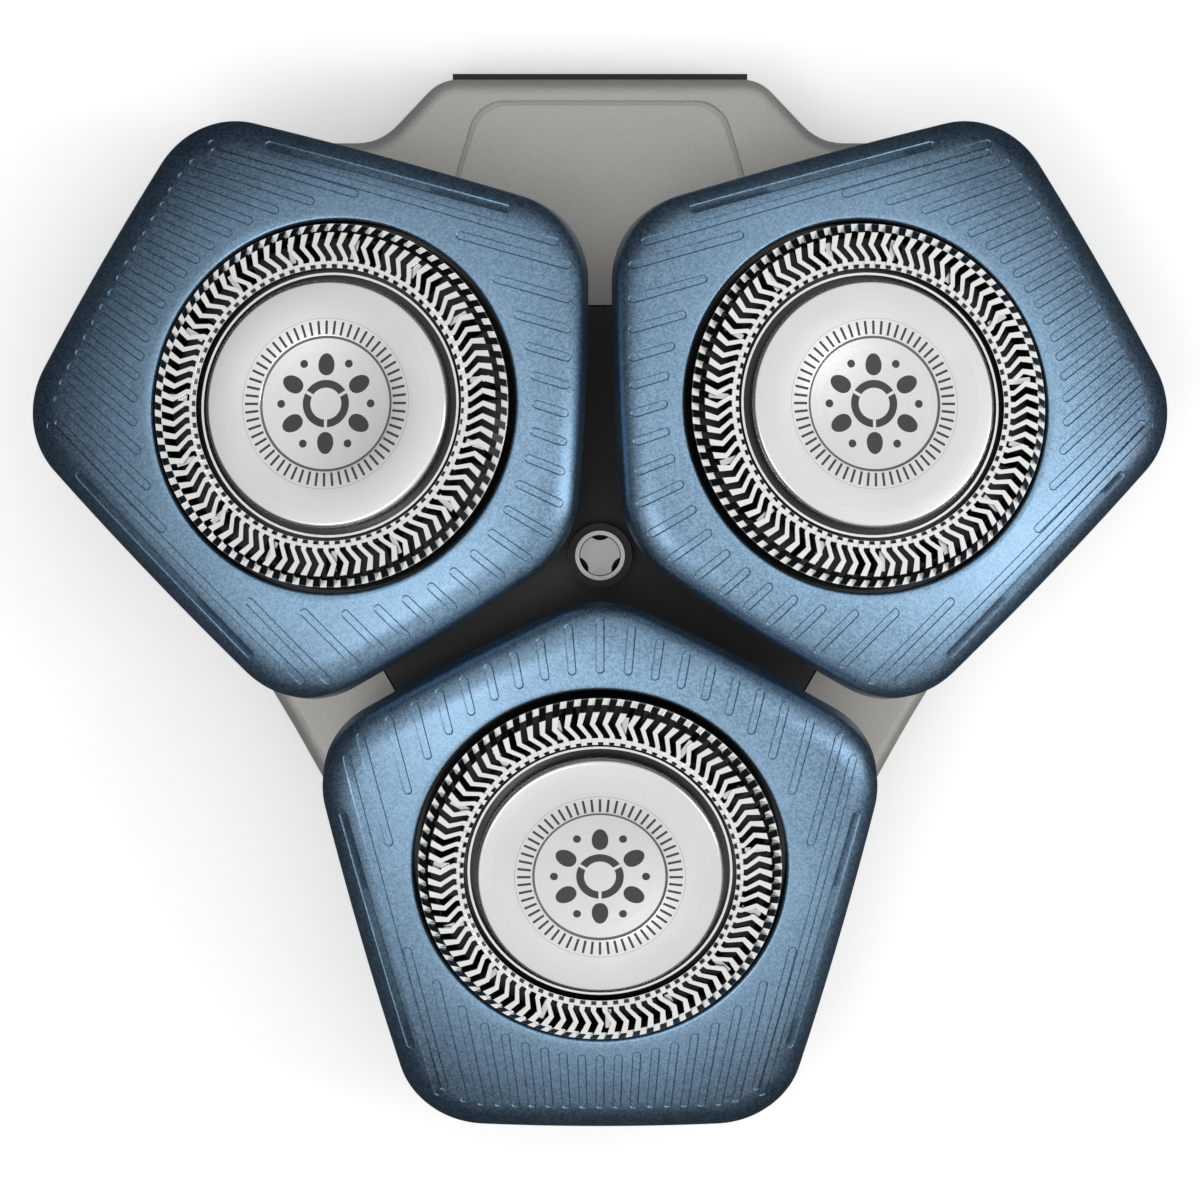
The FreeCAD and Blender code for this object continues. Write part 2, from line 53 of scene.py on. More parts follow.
camera = bpy.data.objects.new("camera", bpy.data.cameras.new("camera"))
bpy.context.scene.collection.objects.link(camera)
camera.location = aim + Vector((0, math.sin(camera_lean), math.cos(camera_lean))) * camera_distance
camera.rotation_euler = (-camera_lean, 0, 0)
camera.data.sensor_width = 36
camera.data.lens = camera.data.sensor_width * camera_distance / seen_width
bpy.context.scene.camera = camera
bpy.context.scene.view_settings.view_transform = "Standard"

# Floor
# A sheet of pale card that the unit lies on. It glows a little, so that it stays
# nearly white under the soft lights, and the steel doesn't mirror it.


class Signal:
    """One socket of a finish's nodes; sums and products of signals add Math nodes."""

    def __init__(self, finish, socket):
        self.finish = finish
        self.socket = socket

    def maths(self, operation, *values):
        return self.finish.node("Math", {"operation": operation}, dict(enumerate(values)))

    def __add__(self, other):
        return self.maths("ADD", self, other)

    def __radd__(self, other):
        return self.maths("ADD", other, self)

    def __sub__(self, other):
        return self.maths("SUBTRACT", self, other)

    def __rsub__(self, other):
        return self.maths("SUBTRACT", other, self)

    def __mul__(self, other):
        return self.maths("MULTIPLY", self, other)

    def __rmul__(self, other):
        return self.maths("MULTIPLY", other, self)

    def __truediv__(self, other):
        return self.maths("DIVIDE", self, other)

    def __pow__(self, other):
        return self.maths("POWER", self, other)

    def __gt__(self, other):
        return self.maths("GREATER_THAN", self, other)

    def __lt__(self, other):
        return self.maths("LESS_THAN", self, other)

    def __abs__(self):
        return self.maths("ABSOLUTE", self)

    def __or__(self, other):
        return self.maths("MAXIMUM", self, other)


class Finish:
    """A material whose nodes end in the glossy shader."""

    def __init__(self, name):
        self.material = bpy.data.materials.new(name)
        self.material.use_nodes = True
        self.nodes = self.material.node_tree.nodes
        self.shader = self.nodes["Principled BSDF"]

    def put(self, socket, value):
        if isinstance(value, Signal):
            self.material.node_tree.links.new(value.socket, socket)
        elif socket.type == "RGBA" and len(value) == 3:
            socket.default_value = (*value, 1)
        else:
            socket.default_value = value

    def node(self, kind, settings=None, sockets=None, output=0):
        made = self.nodes.new("ShaderNode" + kind)
        for key, value in (settings or {}).items():
            setattr(made, key, value)
        for key, value in (sockets or {}).items():
            self.put(made.inputs[key], value)
        return Signal(self, made.outputs[output])

    def mix(self, share, low, high):
        """A colour between two colours, by a share from 0 to 1."""
        kinds = {"data_type": "RGBA", "clamp_factor": True}
        return self.node("Mix", kinds, {0: share, 6: low, 7: high}, output=2)

    def place(self):
        """Where a point is on its piece, in millimetres."""
        metres = self.node("TexCoord", output="Object")
        scaled = {"operation": "SCALE"}
        return self.node("VectorMath", scaled, {0: metres, "Scale": 1 / mm})

    def noise(self, size, detail=2):
        """Cloudy noise from 0 to 1, with spots about size millimetres across."""
        sockets = {"Vector": self.place(), "Scale": 1 / size, "Detail": detail}
        return self.node("TexNoise", None, sockets)

    def relief(self, height, depth):
        """The normal of a surface that stands out by height times depth millimetres."""
        sockets = {"Strength": 1, "Distance": depth * mm, "Height": height}
        return self.node("Bump", None, sockets)

    def shine(self, **sockets):
        for key, value in sockets.items():
            self.put(self.shader.inputs[key.replace("_", " ")], value)
        return self.material


floor_half = 400 * mm
floor_gap = 0.05 * mm
card_glow = 0.36
card = Finish("pale_card")
card_cloud = card.noise(40.0)
card.shine(Base_Color=card.mix(card_cloud, (0.86, 0.86, 0.86), (0.9, 0.9, 0.9)),
           Roughness=0.8,
           Emission_Color=(1, 1, 1),
           Emission_Strength=card_glow)
floor_mesh = bpy.data.meshes.new("floor")
floor_mesh.from_pydata([(-floor_half, -floor_half, 0), (floor_half, -floor_half, 0),
                        (floor_half, floor_half, 0), (-floor_half, floor_half, 0)],
                       [], [(0, 1, 2, 3)])
floor_mesh.materials.append(card.material)
floor = bpy.data.objects.new("floor", floor_mesh)
floor.location.z = -floor_gap
floor.visible_glossy = False
bpy.context.scene.collection.objects.link(floor)

# Lights and sky
# A soft box high on the left draws the bright bands along the caps, and a strip
# lower on the right lights their far sides. The sky is dark at the horizon.


def lamp(name, place, size, watts):
    """A soft rectangular light that faces the unit."""
    light = bpy.data.lights.new(name, "AREA")
    light.shape = "RECTANGLE"
    light.size, light.size_y = size
    light.energy = watts
    held = bpy.data.objects.new(name, light)
    held.location = place
    held.rotation_euler = (Vector(place) - aim).to_track_quat("Z", "Y").to_euler()
    bpy.context.scene.collection.objects.link(held)


lamp("key_box", place=(-0.26, -0.2, 0.8), size=(0.3, 0.3), watts=0.8)
lamp("right_strip", place=(0.64, -0.05, 0.45), size=(0.16, 0.5), watts=1.1)
sky_up = (0.18, -0.1, 1)
sky_dark = (0.22, (0.04, 0.045, 0.05, 1))
sky_bright = (0.78, (1, 1, 1, 1))
sky_strength = 0.95
world = bpy.data.worlds.new("studio")
bpy.context.scene.world = world
world.use_nodes = True
sky = world.node_tree.nodes
sky_way = sky.new("ShaderNodeTexCoord").outputs["Generated"]
sky_height = sky.new("ShaderNodeVectorMath")
sky_height.operation = "DOT_PRODUCT"
sky_height.inputs[1].default_value = sky_up
sky_ramp = sky.new("ShaderNodeValToRGB")
for stop, (height, colour) in zip(sky_ramp.color_ramp.elements, (sky_dark, sky_bright)):
    stop.position = height
    stop.color = colour
world.node_tree.links.new(sky_way, sky_height.inputs[0])
world.node_tree.links.new(sky_height.outputs["Value"], sky_ramp.inputs[0])
world.node_tree.links.new(sky_ramp.outputs[0], sky["Background"].inputs["Color"])
sky["Background"].inputs["Strength"].default_value = sky_strength

# Chassis
# The rear moulding of black glass-filled plastic, with a fine spark texture from
# its mould. Its finish is shared by the other plain black mouldings.


def moulded(name, colour, roughness, grain_size=0.12, grain_depth=0.006):
    """Plastic from a textured mould: even grain, faint cloudiness in colour and gloss."""
    gloss_spread = 0.08
    finish = Finish(name)
    grain = finish.noise(grain_size, 3)
    cloud = finish.noise(9.0)
    darker = [c * 0.82 for c in colour]
    lighter = [min(1, c * 1.16) for c in colour]
    return finish.shine(Base_Color=finish.mix(cloud * 0.6 + grain * 0.4, darker, lighter),
                        Roughness=roughness - gloss_spread / 2 + cloud * gloss_spread,
                        Normal=finish.relief(grain, grain_depth),
                        Specular_IOR_Level=0.45)


def dress(material, *names):
    """Give CAD nodes their finish."""
    for name in names:
        mesh = frame["nodes"][name].data
        mesh.materials.clear()
        mesh.materials.append(material)


black_moulding = moulded("black_moulding", (0.018, 0.018, 0.021), 0.52)
dress(black_moulding, "chassis")

# Seal ring
# A moulded nitrile ring, matte with a dusty bloom. It lies in the groove of the
# coupling collar at the back.
seal_rubber = moulded("seal_rubber", (0.022, 0.021, 0.02), 0.78, grain_size=0.3, grain_depth=0.012)
dress(seal_rubber, "seal_ring")

# Hinge axle, tilt pins, centre spindle and its ring
# Drawn and turned stainless steel, with fine marks from the die and the lathe. The
# axle sits in two lugs and the pins in six ears; the spindle turns in the middle.


def turned_steel(name, colour=(0.72, 0.72, 0.73), roughness=0.24, painted_shade=None):
    """Bare steel, darkened by painted shade where the signal of a function of the finish is 1."""
    finish = Finish(name)
    marks = finish.noise(0.06, 3)
    cloud = finish.noise(1.5)
    steel = finish.mix(cloud, [c * 0.86 for c in colour], colour)
    if painted_shade:
        # painted shade: the steel is darkened to a near-black tone where the mask is 1
        steel = finish.mix(painted_shade(finish), steel, [c * 0.07 for c in colour])
    return finish.shine(Base_Color=steel,
                        Metallic=1.0,
                        Roughness=roughness + marks * 0.12,
                        Normal=finish.relief(marks, 0.0015))


heads = ("right", "left", "lower")
drawn_steel = turned_steel("drawn_steel")
dress(drawn_steel, "hinge_axle")
for head in heads:
    dress(drawn_steel, head + "_pivot_pins")
ring_steel = turned_steel("ring_steel", (0.44, 0.44, 0.44), 0.3)
dress(ring_steel, "pin_ring")
spindle_end = 12.3


def shaded_below_end(finish):
    """1 under the spindle's bare end face, where painted shade darkens it."""
    return finish.node("SeparateXYZ", None, {0: finish.place()}, output=2) < spindle_end


# painted shade: the spindle is darkened below its end face
spindle_steel = turned_steel("spindle_steel", (0.4, 0.4, 0.4), 0.36, shaded_below_end)
dress(spindle_steel, "lock_spindle")

# Cover screws
# Three zinc plated steel screws, a little yellow and cloudy from the plating bath.
# They hold the front frame to the chassis from behind.
zinc = turned_steel("zinc_plate", (0.62, 0.61, 0.56), 0.34)
dress(zinc, "cover_screws")

# Lock knob
# A mid-grey acetal moulding, pressed onto the back end of the spindle. It is the
# grip that turns the lock.
knob_grey = moulded("knob_grey", (0.16, 0.16, 0.17), 0.45)
dress(knob_grey, "lock_knob")

# Front frame
# An injection moulding with a champagne-grey metallic coating: fine pigment
# grains show in a satin lacquer.
frame_coat = Finish("frame_coat")
coat_grain = frame_coat.noise(0.07, 3)
coat_cloud = frame_coat.noise(6.0)
frame_dark = (0.27, 0.263, 0.247)
frame_light = (0.64, 0.625, 0.588)
frame_coat.shine(Base_Color=frame_coat.mix(coat_grain * 0.85 + coat_cloud * 0.15,
                                           frame_dark, frame_light),
                 Metallic=0.55,
                 Roughness=0.42 + coat_grain * 0.16,
                 Normal=frame_coat.relief(coat_grain, 0.004))
dress(frame_coat.material, "front_frame")

# Centre bridge
# The black moulding between the caps, with a darker ring of painted shade round
# the centre pin. An ejector pin of the mould left a faint circle on the arm towards the lobe.
ejector_y = 4.05
ejector_radius = 0.78
ejector_width = 0.1
ejector_depth = 0.03
collar_reach = 2.0
collar_shade = (0.004, 0.004, 0.004)


def from_spot(finish, middle_y):
    """Distance in mm, seen from the front, from a spot on the middle line."""
    split = {0: finish.place()}
    x = finish.node("SeparateXYZ", None, split, output=0)
    y = finish.node("SeparateXYZ", None, split, output=1) - middle_y
    return (x * x + y * y) ** 0.5


def ejector_circle(finish):
    """Height in mm of the circle, which is pressed in."""
    on_line = abs(from_spot(finish, ejector_y) - ejector_radius) < ejector_width / 2
    return on_line * -ejector_depth


bridge = Finish("bridge_black")
bridge_grain = bridge.noise(0.09, 3)
bridge_plain = bridge.mix(bridge_grain, (0.021, 0.021, 0.024), (0.03, 0.03, 0.034))
in_collar_shade = from_spot(bridge, 0) < collar_reach
# painted shade: the ring round the centre pin is darker than the rest of the bridge
bridge.shine(Base_Color=bridge.mix(in_collar_shade, bridge_plain, collar_shade),
             Roughness=0.46 + bridge_grain * 0.08,
             Normal=bridge.relief(bridge_grain * 0.004 + ejector_circle(bridge), 1),
             Specular_IOR_Level=0.45)
dress(bridge.material, "centre_bridge")

# Carriers, retainers and drivers
# A black ring holds each guard and hangs on the tilt pins, and a flat grey ring
# closes it from below. The grey driver is the moulded hub in the cutter.
driver_grey = moulded("driver_grey", (0.09, 0.09, 0.095), 0.4)
for head in heads:
    dress(black_moulding, head + "_carrier")
    dress(driver_grey, head + "_retainer", head + "_driver")

# Cutters
# Ground stainless steel: a flat ring with leaning blades whose tips run under
# the slots. Below the tips the steel is darkened with painted shade.
head_joint = {j["name"]: j for j in frame["joints"]}
cutter_shade_top = 0.45


def head_reach(finish, head):
    """Height over a head's middle plane and distance from its spindle axis, in mm."""
    spin = head_joint[head + "_spin"]
    middle = Vector(spin["pos_m"]) / mm
    offset = finish.node("VectorMath", {"operation": "SUBTRACT"}, {0: finish.place(), 1: middle})
    dot = {"operation": "DOT_PRODUCT"}
    height = finish.node("VectorMath", dot, {0: offset, 1: Vector(spin["axis"])}, output="Value")
    far = finish.node("VectorMath", dot, {0: offset, 1: offset}, output="Value")
    return height, (far - height * height) ** 0.5


def shaded_below_tips(head):
    """For turned_steel: painted shade under the tips of a head's blades."""
    return lambda finish: head_reach(finish, head)[0] < cutter_shade_top


for head in heads:
    # painted shade darkens each cutter below its blade tips
    blades = turned_steel(head + "_cutter_steel", (0.66, 0.66, 0.67), 0.24, shaded_below_tips(head))
    dress(blades, head + "_cutter")

# Guards
# Deep-drawn stainless steel cups with spark-cut zigzag slots. The flat faces are
# lapped; painted shade darkens the slot walls, bevels and the groove round the disc.
slot_foot_inner = 1.1
wall_top = 0.5
wall_margin = 0.06
foot_margin = 0.04
inner_bevel = 8.38
outer_bevel = 10.3
rim_band = (7.7, 7.96)
rim_bright = 0.7


def between(value, low, high):
    """1 where a signal lies between two values."""
    return (value > low) * (value < high)


def shaded_under_top(head):
    """For turned_steel: painted shade on the walls and bevels of a head's guard."""
    def share(finish):
        height, reach = head_reach(finish, head)
        rim = between(reach, *rim_band) * (height > rim_bright)
        walls = (height < slot_foot_inner) * (reach < outer_bevel) * (1 - rim)
        outside = (abs(height - wall_top) > wall_margin) * (reach > outer_bevel)
        inside = (height > slot_foot_inner + foot_margin) * (reach < inner_bevel)
        return walls | outside | inside
    return share


for head in heads:
    # painted shade darkens each guard below its flat top faces
    lamellae = turned_steel(head + "_guard_steel", (0.86, 0.86, 0.85), 0.2, shaded_under_top(head))
    dress(lamellae, head + "_guard")

# Discs
# A polished stainless disc pressed into each guard. Fine circles from polishing
# run round it, and a ring of short marks and a plain motif are printed on it. Two
# thin dark circles, at the step and just past the marks, are painted shade.


def head_place(head):
    """From a head's own frame to the unit: Z along its spindle, X away from the axis."""
    spin = head_joint[head + "_spin"]
    middle = Vector(spin["pos_m"])
    up = Vector(spin["axis"]).normalized()
    across = Vector((-middle.y, middle.x, 0)).normalized()
    out = across.cross(up)
    turn = Matrix((out, across, up)).transposed().to_4x4()
    return Matrix.Translation(middle) @ turn


sharp_bend = math.radians(30)


def build(name, points, faces, material, unit=mm):
    """An object from points in a unit, smooth but where it bends sharply."""
    mesh = bpy.data.meshes.new(name)
    mesh.from_pydata([[c * unit for c in p] for p in points], [], faces)
    mesh.validate()
    whole = bmesh.new()
    whole.from_mesh(mesh)
    bmesh.ops.recalc_face_normals(whole, faces=whole.faces)
    whole.to_mesh(mesh)
    whole.free()
    mesh.shade_smooth()
    mesh.set_sharp_from_angle(angle=sharp_bend)
    mesh.materials.append(material)
    made = bpy.data.objects.new(name, mesh)
    bpy.context.scene.collection.objects.link(made)
    return made


def lathe(profile, count):
    """Points and faces of a closed profile of (radius, height) turned about Z."""
    rings = np.array(profile)
    angles = np.arange(count) * 2 * math.pi / count
    points = [(r * math.cos(a), r * math.sin(a), h) for a in angles for r, h in rings]
    size = len(rings)
    faces = []
    for i in range(count):
        for k in range(size):
            a, b = i * size + k, i * size + (k + 1) % size
            c, d = (i + 1) % count * size + k, (i + 1) % count * size + (k + 1) % size
            faces.append((a, c, d, b))
    return points, faces


def arc(x, y, radius, start, end, steps):
    """Points of an arc in a profile, from one angle to another in degrees."""
    turns = np.radians(np.linspace(start, end, steps + 1))
    return [(x + radius * math.cos(t), y + radius * math.sin(t)) for t in turns]


disc_pole = 0.002
disc_radius = 7.4
disc_top = 1.75
disc_floor = 0.05
disc_sheet = 0.3
disc_round = 0.25
step_radius = 4.0
step_drop = 0.12
step_round = 0.1
low_top = disc_top - step_drop
disc_profile = [(disc_pole, low_top), (step_radius - step_round, low_top)]
disc_profile += [(step_radius, disc_top - step_round)]
disc_profile += arc(step_radius + step_round, disc_top - step_round, step_round, 180, 90, 3)
disc_profile += arc(disc_radius - disc_round, disc_top - disc_round, disc_round, 90, 0, 6)
disc_profile += [(disc_radius, disc_floor), (disc_radius - disc_sheet, disc_floor),
                 (disc_radius - disc_sheet, low_top - disc_sheet),
                 (disc_pole, low_top - disc_sheet)]

disc_steel = Finish("disc_steel")
spot = disc_steel.place()
spot_x = disc_steel.node("SeparateXYZ", None, {0: spot}, output=0)
spot_y = disc_steel.node("SeparateXYZ", None, {0: spot}, output=1)
reach = (spot_x * spot_x + spot_y * spot_y) ** 0.5
bearing = disc_steel.node("Math", {"operation": "ARCTAN2"}, {0: spot_y, 1: spot_x})


def every(count, shift=0.0):
    """How far round, in radians, a point is from the nearest of count spokes."""
    share = bearing * (count / (2 * math.pi)) + (0.5 + shift)
    within = disc_steel.node("Math", {"operation": "FRACT"}, {0: share})
    return abs(within - 0.5) * (2 * math.pi / count)


petal_count = 6


def oval(middle, half_length, half_width, shift=0.0):
    """1 in each of a ring of ovals that point to the centre."""
    along = (reach - middle) / half_length
    across = every(petal_count, shift) * reach / half_width
    return along ** 2 + across ** 2 < 1


petals = oval(2.35, 0.66, 0.5)
dots = oval(2.75, 0.24, 0.24, shift=0.5)
hub_band = (0.95, 1.42)
hub_gap_count = 3
hub_gap_half = 0.09
hub = between(reach, *hub_band) * (every(hub_gap_count) * reach > hub_gap_half)
tick_band = (4.14, 4.95)
tick_count = 60
tick_half = 0.075
ticks = (every(tick_count) * reach < tick_half) * between(reach, *tick_band)
step_shade_band = (3.9, 4.01)
step_shade = 0.85
outer_shade_band = (5.08, 5.13)
outer_shade = 0.3
# painted shade: thin dark circles at the step and just past the ring of marks
lines = (between(reach, *step_shade_band) * step_shade) | (between(reach, *outer_shade_band) * outer_shade)
print_and_painted_shade = petals | dots | hub | ticks | lines
polish_marks_per_mm = 14.0
across_marks = disc_steel.node("CombineXYZ", None, {0: reach * polish_marks_per_mm, 1: 0.4, 2: 0.2})
lathe_marks = disc_steel.node("TexNoise", None, {"Vector": across_marks, "Scale": 1.0, "Detail": 3})
disc_cloud = disc_steel.noise(3.0)
bare_steel = disc_steel.mix(disc_cloud * 0.5 + lathe_marks * 0.5, (0.66, 0.66, 0.66), (0.8, 0.8, 0.8))
disc_steel.shine(Base_Color=disc_steel.mix(print_and_painted_shade, bare_steel, (0.05, 0.05, 0.052)),
                 Metallic=1.0 - print_and_painted_shade * 0.85,
                 Roughness=0.22 + lathe_marks * 0.1 + print_and_painted_shade * 0.25,
                 Normal=disc_steel.relief(lathe_marks, 0.0012))
disc_around = 192
disc_points, disc_faces = lathe(disc_profile, disc_around)
for head in heads:
    disc = build(head + "_polished_disc", disc_points, disc_faces, disc_steel.material)
    disc.matrix_world = head_place(head)
    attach(disc, "guard_" + head)
    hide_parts(head + "_disc")

# Caps
# Each is one moulding with a crowned top, a rolled edge and a thin skirt, coated
# in metallic blue. Shallow round-ended recesses are moulded into its top.
opening_radius = 11.16
apex_reach = 16.6
shoulder_x = 6.9
shoulder_y = 17.4
outer_reach = 17.45
outer_half = 11.05
outline_rounds = (6.0, 5.4, 5.2, 5.2, 5.4)
outline_bows = (0.45, 0.22, 0.15, 0.22, 0.45)
bow_share = 0.3
crown_radius = 90.0
edge_round = 1.1
edge_width = 2.0
lip_round = 0.25
cap_wall = 1.2
cap_top = 1.3
skirt_depth = 2.4
skirt_slope = 0.1
collar_depth = 1.7
collar_wall = 1.4
around = 360


def cap_outline():
    """Points evenly round the outline, a bowed pentagon with rounded corners."""
    corners = [np.array(c) for c in ((-apex_reach, 0.0), (-shoulder_x, -shoulder_y),
                                     (outer_reach, -outer_half), (outer_reach, outer_half),
                                     (-shoulder_x, shoulder_y))]
    stations = []
    for i, corner in enumerate(corners):
        side = corners[(i + 1) % 5] - corner
        length = np.linalg.norm(side)
        outward = np.array((side[1], -side[0])) / length
        bend = bow_share * length / math.tan(2 * outline_bows[i] / length)
        stations += [(corner, outline_rounds[i]),
                     (corner + side / 2 + outward * outline_bows[i], bend)]
    path = []
    for i, (corner, radius) in enumerate(stations):
        back = stations[i - 1][0] - corner
        ahead = stations[(i + 1) % 10][0] - corner
        back, ahead = back / np.linalg.norm(back), ahead / np.linalg.norm(ahead)
        half = math.acos(np.clip(back @ ahead, -1, 1)) / 2
        inward = (back + ahead) / np.linalg.norm(back + ahead)
        middle = corner + inward * radius / math.sin(half)
        first = corner + back * radius / math.tan(half) - middle
        last = corner + ahead * radius / math.tan(half) - middle
        start = math.atan2(first[1], first[0])
        sweep = math.atan2(first[0] * last[1] - first[1] * last[0], first @ last)
        for t in np.linspace(0, 1, 25):
            turn = start + sweep * t
            path.append(middle + radius * np.array((math.cos(turn), math.sin(turn))))
    path = np.array(path + path[:1])
    runs = np.linalg.norm(np.diff(path, axis=0), axis=1)
    marks = np.concatenate(([0], np.cumsum(runs)))
    even = np.arange(around) / around * marks[-1]
    return np.stack([np.interp(even, marks, path[:, k]) for k in (0, 1)], axis=1)


rim = cap_outline()
rim_along = np.roll(rim, -1, axis=0) - np.roll(rim, 1, axis=0)
rim_along /= np.linalg.norm(rim_along, axis=1)[:, None]
rim_inward = np.stack([-rim_along[:, 1], rim_along[:, 0]], axis=1)


def crown(radius):
    """Height of the crowned top, which passes through the edge of the opening."""
    at_opening = math.sqrt(crown_radius ** 2 - opening_radius ** 2)
    return np.sqrt(crown_radius ** 2 - radius ** 2) - at_opening


def from_rim(points):
    """How far inside the outline each point is."""
    start, run = rim, np.roll(rim, -1, axis=0) - rim
    offset = points[:, None, :] - start[None]
    share = np.clip((offset * run).sum(2) / (run * run).sum(1), 0, 1)
    return np.linalg.norm(offset - share[:, :, None] * run, axis=2).min(axis=1)


def top_height(points):
    """Height of the top over each point, its rolled edge included."""
    short = np.clip(1 - from_rim(points) / edge_width, 0, 1)
    rolled = edge_round * (1 - np.sqrt(1 - short ** 2))
    return crown(np.linalg.norm(points, axis=1)) - rolled


def ring(points, heights):
    """Points of the plane lifted to their heights."""
    return np.column_stack([points, np.broadcast_to(heights, len(points))])


def cap_rings():
    """The cap's section as rings, from the foot of the opening over the top and back inside."""
    shoulder = rim + rim_inward * edge_width
    bearing = shoulder / np.linalg.norm(shoulder, axis=1)[:, None]
    lip = opening_radius + lip_round
    rings = [ring(bearing * opening_radius, -collar_depth)]
    for r, drop in arc(lip, -lip_round, lip_round, 180, 90, 5):
        rings.append(ring(bearing * r, drop + crown(lip)))
    for share in np.linspace(0, 1, 13)[1:]:
        points = bearing * lip * (1 - share) + shoulder * share
        rings.append(ring(points, crown(np.linalg.norm(points, axis=1))))
    for turn in np.radians(np.linspace(90, 0, 13))[1:]:
        points = rim + rim_inward * edge_width * (1 - math.cos(turn))
        fall = edge_round * (1 - math.sin(turn))
        rings.append(ring(points, crown(np.linalg.norm(points, axis=1)) - fall))
    inside = rim + rim_inward * cap_wall
    foot = -skirt_depth - (rim[:, 0] + apex_reach) * skirt_slope
    under = crown(np.linalg.norm(inside, axis=1)) - cap_top
    collar = bearing * (opening_radius + collar_wall)
    rings += [ring(rim, foot), ring(inside, foot), ring(inside, under),
              ring(collar, crown(opening_radius + collar_wall) - cap_top),
              ring(collar, -collar_depth)]
    return rings


def looped(rings):
    """Points and faces of closed rings, each joined to the next and the last to the first."""
    count = len(rings[0])
    faces = []
    for k in range(len(rings)):
        after = (k + 1) % len(rings)
        for i in range(count):
            j = (i + 1) % count
            faces.append((k * count + i, k * count + j, after * count + j, after * count + i))
    return np.concatenate(rings), faces


recess_half = 0.27
recess_depth = 0.07
recess_lift = 0.12
recess_step = 0.45


def recess(start, end):
    """A cutter for one recess, whose slanting walls meet the top along a long round-ended line."""
    length = np.linalg.norm(end - start)
    along = (end - start) / length
    side = np.array((-along[1], along[0]))
    steps = max(2, int(length / recess_step))
    sections = []
    for half, rise in ((recess_half - recess_depth, -recess_depth),
                       (recess_half + recess_lift, recess_lift)):
        turns = np.radians(np.linspace(0, 90, 6))
        run = np.concatenate([-half * np.cos(turns), length * np.arange(1, steps) / steps,
                              length + half * np.cos(turns[::-1])])
        out = np.concatenate([half * np.sin(turns), np.full(steps - 1, half),
                              half * np.sin(turns[::-1])])
        left = start + run[:, None] * along + out[:, None] * side
        right = start + run[:, None] * along - out[:, None] * side
        outline = np.concatenate([left, right[-2:0:-1]])
        sections.append(ring(outline, top_height(outline) + rise))
    size = len(sections[0])
    last = len(run) - 1
    faces = [(i, (i + 1) % size, size + (i + 1) % size, size + i) for i in range(size)]
    for level in (0, size):
        faces.append((level, level + 1, level + size - 1))
        for i in range(1, last - 1):
            faces.append((level + i, level + i + 1, level + size - i - 1, level + size - i))
        faces.append((level + last - 1, level + last, level + size - last + 1))
    return np.concatenate(sections), faces


slide_step = 0.04


def slid(point, direction, stops):
    """The first point along a direction, within the cap, where the test says to stop."""
    steps = np.arange(0, 2 * shoulder_y, slide_step)
    return next((p for p in point + steps[:, None] * np.array(direction) if stops(p)), point)


inner_recesses = 10
inner_pitch = 1.70
inner_crowding = 0.033
inner_lean = 0.26
outer_recesses = 10
outer_pitch = 0.975
recess_clear = 12.45
inner_inset = 0.8
outer_inset = 1.95
past_opening_x = -1.5
past_opening_margin = 0.4
middle_line_half = 0.1
outer_end_x = 5.5
fan_focus = 55.0
outer_start_x = 14.0
side_recesses = (((-6.5, 15.1), (15.0, 9.8)), ((-3.0, 15.35), (11.8, 11.45)))


def recess_lines():
    """Both ends of the middle line of every recess."""
    lines = [(np.array(a), np.array(b)) for a, b in side_recesses]
    for k in range(inner_recesses):
        y = inner_pitch * k - inner_crowding * k * k
        lean = inner_lean * math.tanh(k / 3)
        beside = y < recess_clear - past_opening_margin
        x = -math.sqrt(recess_clear ** 2 - y * y) if beside else past_opening_x
        start = np.array((x, y))
        end = slid(start, (-1, lean), lambda p: from_rim(p[None])[0] < inner_inset)
        lines.append((start, end))
    for k in range(outer_recesses):
        y = outer_pitch * k
        lean = y / (fan_focus - outer_reach)
        middle = np.array((outer_start_x, y + lean * (outer_reach - outer_start_x)))
        end = slid(middle, (1, -lean), lambda p: from_rim(p[None])[0] < outer_inset)
        start = slid(middle, (-1, lean),
                     lambda p: math.hypot(*p) < recess_clear or p[0] < outer_end_x)
        lines.append((start, end))
    mirror = np.array((1, -1))
    return lines + [(a * mirror, b * mirror) for a, b in lines if abs(a[1]) > middle_line_half]


def joined(shapes):
    """One set of points and faces from several."""
    points, faces = [], []
    for shape_points, shape_faces in shapes:
        first = len(points)
        points += list(shape_points)
        faces += [tuple(first + i for i in face) for face in shape_faces]
    return points, faces


flake_size = 0.1
crown_gloss = 0.011
blue_dark = (0.065, 0.11, 0.17)
blue_bright = (0.39, 0.62, 0.85)
blue_share = 0.27
painted_shade_per_mm = 0.048


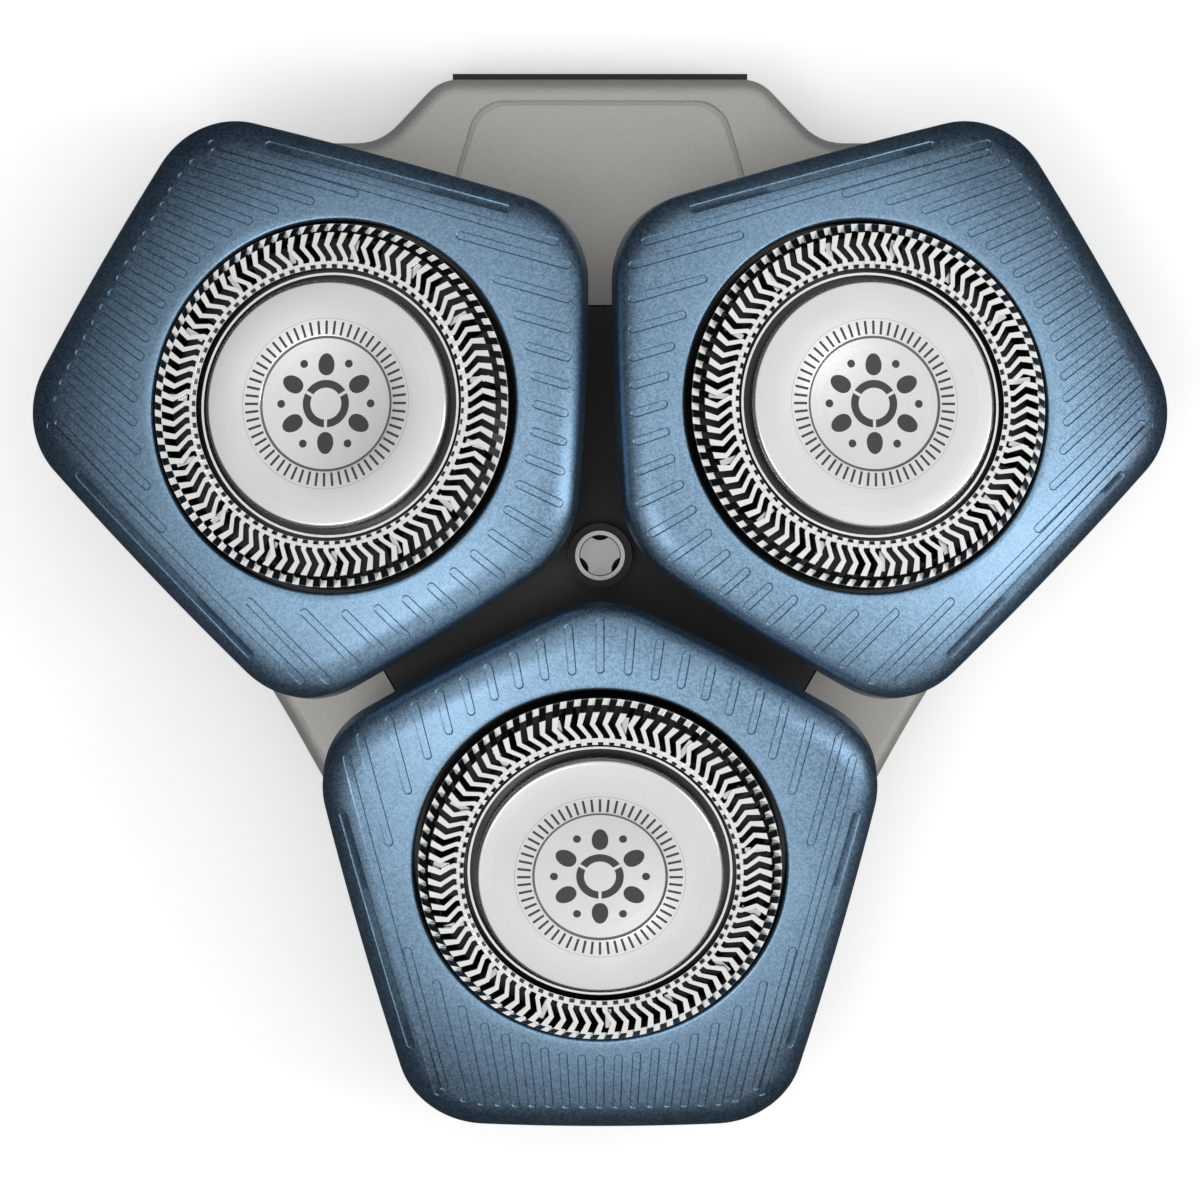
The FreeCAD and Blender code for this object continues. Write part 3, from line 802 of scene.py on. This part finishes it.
def blue_coat(head):
    """Metallic blue with fine flakes, and painted shade that darkens it away from the opening."""
    coat = Finish(head + "_cap_blue")
    cells = {"Vector": coat.place(), "Scale": 1 / flake_size}
    flake = coat.node("SeparateColor", None, {0: coat.node("TexVoronoi", None, cells, output=1)})
    cloud = coat.noise(5.0)
    outward = (head_reach(coat, head)[1] - opening_radius) | 0
    # painted shade: the blue darkens with distance out from the opening
    shaded_tone = flake * 0.35 + cloud * 0.2 + blue_share - outward * painted_shade_per_mm
    paint = coat.mix(shaded_tone, blue_dark, blue_bright)
    relief = coat.relief(coat.noise(0.07) * 0.002 - outward * outward * crown_gloss, 1)
    return coat.shine(Base_Color=paint,
                      Metallic=0.92,
                      Roughness=0.33 + flake * 0.08,
                      Normal=relief,
                      Coat_Weight=0.25,
                      Coat_Roughness=0.2)


coat_margin = 0.03
faces_down = -0.3
cap_points, cap_faces = looped(cap_rings())
cap_solid = build("cap_blank", cap_points, cap_faces, black_moulding, unit=1)
cutters = build("recess_cutters", *joined([recess(*line) for line in recess_lines()]),
                black_moulding, unit=1)
cutting = cap_solid.modifiers.new("recesses", "BOOLEAN")
cutting.operation = "DIFFERENCE"
cutting.solver = "MANIFOLD"
cutting.object = cutters
bpy.context.view_layer.update()
cut_solid = cap_solid.evaluated_get(bpy.context.evaluated_depsgraph_get())
cut_cap = bpy.data.meshes.new_from_object(cut_solid)
cut_cap.materials.append(black_moulding)
for face in cut_cap.polygons:
    in_opening = face.center.xy.length < opening_radius + coat_margin and face.center.z < -lip_round
    face.material_index = 1 if in_opening or face.normal.z < faces_down else 0
cut_cap.transform(Matrix.Scale(mm, 4))
cut_cap.shade_smooth()
cut_cap.set_sharp_from_angle(angle=sharp_bend)
bpy.data.objects.remove(cap_solid)
bpy.data.objects.remove(cutters)
for head in heads:
    cap_mesh = cut_cap.copy()
    cap_mesh.materials[0] = blue_coat(head)
    cap_mesh.transform(head_place(head))
    cap = bpy.data.objects.new(head + "_blue_cap", cap_mesh)
    bpy.context.scene.collection.objects.link(cap)
    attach(cap, "head_" + head)
    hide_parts(head + "_cap")
